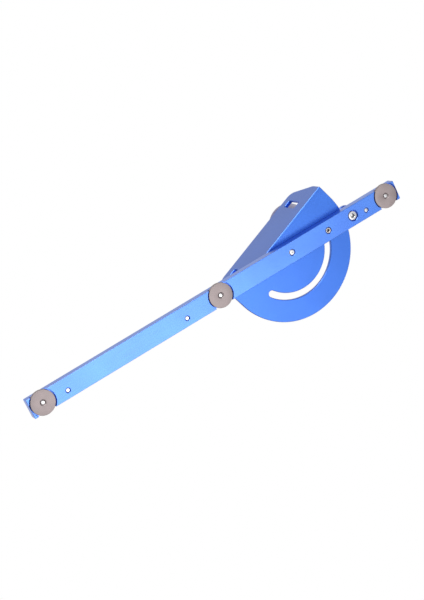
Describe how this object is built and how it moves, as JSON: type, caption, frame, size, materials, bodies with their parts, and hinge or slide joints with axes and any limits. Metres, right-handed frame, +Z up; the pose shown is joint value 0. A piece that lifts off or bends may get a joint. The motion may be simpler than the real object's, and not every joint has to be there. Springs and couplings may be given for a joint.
{
  "type": "mitre gauge",
  "caption": "Table-saw mitre gauge: a T-slot guide bar with a pivoting protractor fence, a clamp handle, a pointer and set screws that take up play.",
  "frame": {"origin": "on the head's pivot axis, in the plane of the bar's underside, at the flush end of the pivot screw", "axes": "+X along the bar towards its long front end, +Z up from the bar's underside through the head to the clamp handle, +Y completes the right-handed frame. At rest the head is turned 69 degrees from square, with the fence's working face towards +Y and a little +X"},
  "size_m": [0.411, 0.1059, 0.097],
  "materials": {
    "blue_anodised": "satin blue anodised aluminium",
    "handle_anodised": "satin lilac-blue anodised aluminium",
    "turned_steel": "turned, satin",
    "bright_fasteners": "zinc plated, bright",
    "spacer_aluminium": "plain turned aluminium",
    "insert_brass": "machined",
    "bush_bronze": "sintered bronze, oiled"
  },
  "bodies": {
    "bar": {"mitre_bar": "blue_anodised", "t_slot_disc_front": "turned_steel", "t_slot_disc_middle": "turned_steel", "t_slot_disc_rear": "turned_steel", "disc_screw_front": "bright_fasteners", "disc_screw_middle": "bright_fasteners", "disc_screw_rear": "bright_fasteners", "fit_screw_front": "bright_fasteners", "fit_screw_middle": "bright_fasteners", "fit_screw_rear": "bright_fasteners", "pivot_shoulder_screw": "bright_fasteners", "pivot_washer": "turned_steel", "clamp_stud": "bright_fasteners", "pointer_spacer": "spacer_aluminium", "pointer": "blue_anodised", "pointer_cap_screw": "bright_fasteners", "pointer_nut": "bright_fasteners"},
    "head": {"protractor_head": "blue_anodised", "pivot_bush": "bush_bronze"},
    "washer": {"clamp_washer": "turned_steel"},
    "handle": {"clamp_handle": "handle_anodised", "handle_insert": "insert_brass"}
  },
  "joints": [
    {"name": "head_pivot", "type": "hinge", "parent": "bar", "child": "head", "pos_m": [0, 0, 0.0115], "axis": [0, 0, 1], "range_deg": [-138, 0]},
    {"name": "clamp_lift", "type": "slide", "parent": "bar", "child": "washer", "axis": [0, 0, 1], "range_m": [0, 0.002]},
    {"name": "clamp_turn", "type": "hinge", "parent": "washer", "child": "handle", "pos_m": [-0.0425, 0, 0.0155], "axis": [0, 0, 1], "range_deg": [0, 720]}
  ],
  "couplings": [
    {"joint": "clamp_turn", "follows": "clamp_lift", "rad_per_m": 6283.2}
  ]
}
